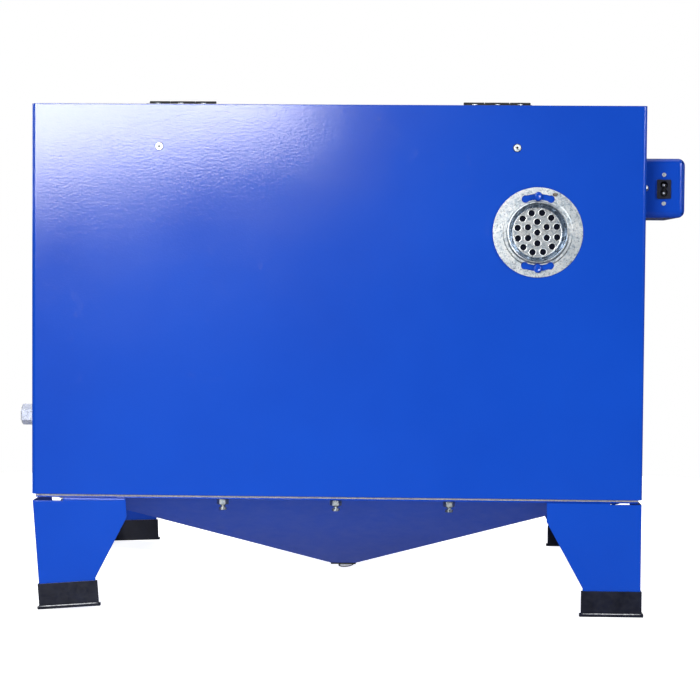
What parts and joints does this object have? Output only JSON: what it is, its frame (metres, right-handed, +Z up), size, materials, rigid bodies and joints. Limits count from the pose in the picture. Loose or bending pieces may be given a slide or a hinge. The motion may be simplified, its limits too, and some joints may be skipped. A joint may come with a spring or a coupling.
{
  "type": "sandblast cabinet",
  "caption": "Bench-top sandblast cabinet with a hinged sloping window lid, arm gloves, hopper with drain, vent, lamp box and air inlet on sheet-metal legs.",
  "frame": {"origin": "centre of the overall footprint at the surface that the feet stand on", "axes": "+Z up, -Y towards the operator's front, +X to the operator's right"},
  "size_m": [0.6736, 0.5068, 0.496],
  "materials": {
    "blue_paint": "gloss",
    "collar_paint": "satin",
    "zinc_plate": "satin",
    "stud_paint": "gloss",
    "nickel_plate": "polished",
    "black_steel": "satin",
    "black_plastic": "matte",
    "foam": "matte",
    "filter_pad": "matte",
    "glove_rubber": "matte",
    "clear_pane": "gloss",
    "lamp_diffuser": "gloss",
    "transformer_case": "matte",
    "lead_sheath": "matte",
    "gun_metal": "satin",
    "ceramic": "satin"
  },
  "bodies": {
    "cabinet": {"air_inlet": "nickel_plate", "air_inlet_nuts": "nickel_plate", "back_panel": "blue_paint", "drain_collar": "collar_paint", "floor_frame": "blue_paint", "foot_covers": "black_plastic", "frame_bolts": "zinc_plate", "frame_nuts": "zinc_plate", "front_panel": "blue_paint", "glove_clamps": "zinc_plate", "glove_left": "glove_rubber", "glove_ports": "black_plastic", "glove_right": "glove_rubber", "gun_body": "gun_metal", "gun_nozzle": "ceramic", "hinge_bases": "black_steel", "hinge_pins": "black_steel", "hopper": "blue_paint", "hopper_flange": "blue_paint", "hopper_gasket": "foam", "lamp_bracket": "blue_paint", "lamp_lead": "lead_sheath", "lamp_lens": "lamp_diffuser", "latch_bases": "zinc_plate", "leg_back_left": "blue_paint", "leg_back_right": "blue_paint", "leg_front_left": "blue_paint", "leg_front_right": "blue_paint", "light_box": "blue_paint", "light_switch_frame": "black_plastic", "pop_rivets": "zinc_plate", "power_inlet": "black_plastic", "side_panel_left": "blue_paint", "side_panel_right": "blue_paint", "stay_peg": "zinc_plate", "transformer": "transformer_case", "vent_baffle": "blue_paint", "vent_filter": "filter_pad", "vent_studs": "stud_paint", "wall_ledges": "blue_paint", "work_grate": "black_steel"},
    "lid": {"lid": "blue_paint", "window": "clear_pane", "window_seal": "foam", "window_frame": "black_steel", "lid_screws": "zinc_plate", "lid_seal": "foam", "hinge_leaves": "black_steel", "latch_keepers": "zinc_plate", "stay_bracket": "blue_paint"},
    "stay_bar": {"lid_stay": "zinc_plate"},
    "lever_left": {"latch_lever_left": "zinc_plate"},
    "lever_right": {"latch_lever_right": "zinc_plate"},
    "bail_left": {"latch_bail_left": "zinc_plate"},
    "bail_right": {"latch_bail_right": "zinc_plate"},
    "rocker": {"light_rocker": "black_plastic"},
    "trigger": {"gun_trigger": "gun_metal"},
    "vent": {"vent_cover": "zinc_plate", "vent_strainer": "zinc_plate"},
    "plug": {"drain_plug": "zinc_plate"}
  },
  "joints": [
    {"name": "lid_hinge", "type": "hinge", "parent": "cabinet", "child": "lid", "pos_m": [0, 0.2095, 0.493], "axis": [-1, 0, 0], "range_deg": [0, 70]},
    {"name": "stay_turn", "type": "hinge", "parent": "lid", "child": "stay_bar", "pos_m": [0.27, 0.03049, 0.47418], "axis": [-1, 0, 0], "range_deg": [-35.5, 0.5]},
    {"name": "latch_left", "type": "hinge", "parent": "cabinet", "child": "lever_left", "pos_m": [-0.25, -0.2285, 0.318], "axis": [-1, 0, 0], "range_deg": [-20, 130]},
    {"name": "bail_left", "type": "hinge", "parent": "lever_left", "child": "bail_left", "pos_m": [-0.25, -0.23192, 0.3086], "axis": [-1, 0, 0], "range_deg": [-170, 27]},
    {"name": "latch_right", "type": "hinge", "parent": "cabinet", "child": "lever_right", "pos_m": [0.25, -0.2285, 0.318], "axis": [-1, 0, 0], "range_deg": [-20, 130]},
    {"name": "bail_right", "type": "hinge", "parent": "lever_right", "child": "bail_right", "pos_m": [0.25, -0.23192, 0.3086], "axis": [-1, 0, 0], "range_deg": [-170, 27]},
    {"name": "light_switch", "type": "hinge", "parent": "cabinet", "child": "rocker", "pos_m": [-0.317, 0.0855, 0.413], "axis": [-1, 0, 0], "range_deg": [0, 16]},
    {"name": "gun_trigger_pull", "type": "hinge", "parent": "cabinet", "child": "trigger", "pos_m": [0.02, -0.0125, 0.1418], "axis": [0, 0, -1], "range_deg": [0, 22], "stiffness_Nm_per_rad": 0.08},
    {"name": "vent_turn", "type": "hinge", "parent": "cabinet", "child": "vent", "pos_m": [-0.1919, 0.2495, 0.3692], "axis": [0, 1, 0], "range_deg": [-20, 20]},
    {"name": "drain_plug_drop", "type": "slide", "parent": "cabinet", "child": "plug", "axis": [-0.1189, 0.4348, -0.8926], "range_m": [0, 0.006]}
  ],
  "couplings": [
    {"joint": "stay_turn", "follows": "lid_hinge", "ratio": -0.5},
    {"joint": "bail_left", "follows": "latch_left", "ratio": -1.3},
    {"joint": "bail_right", "follows": "latch_right", "ratio": -1.3}
  ]
}
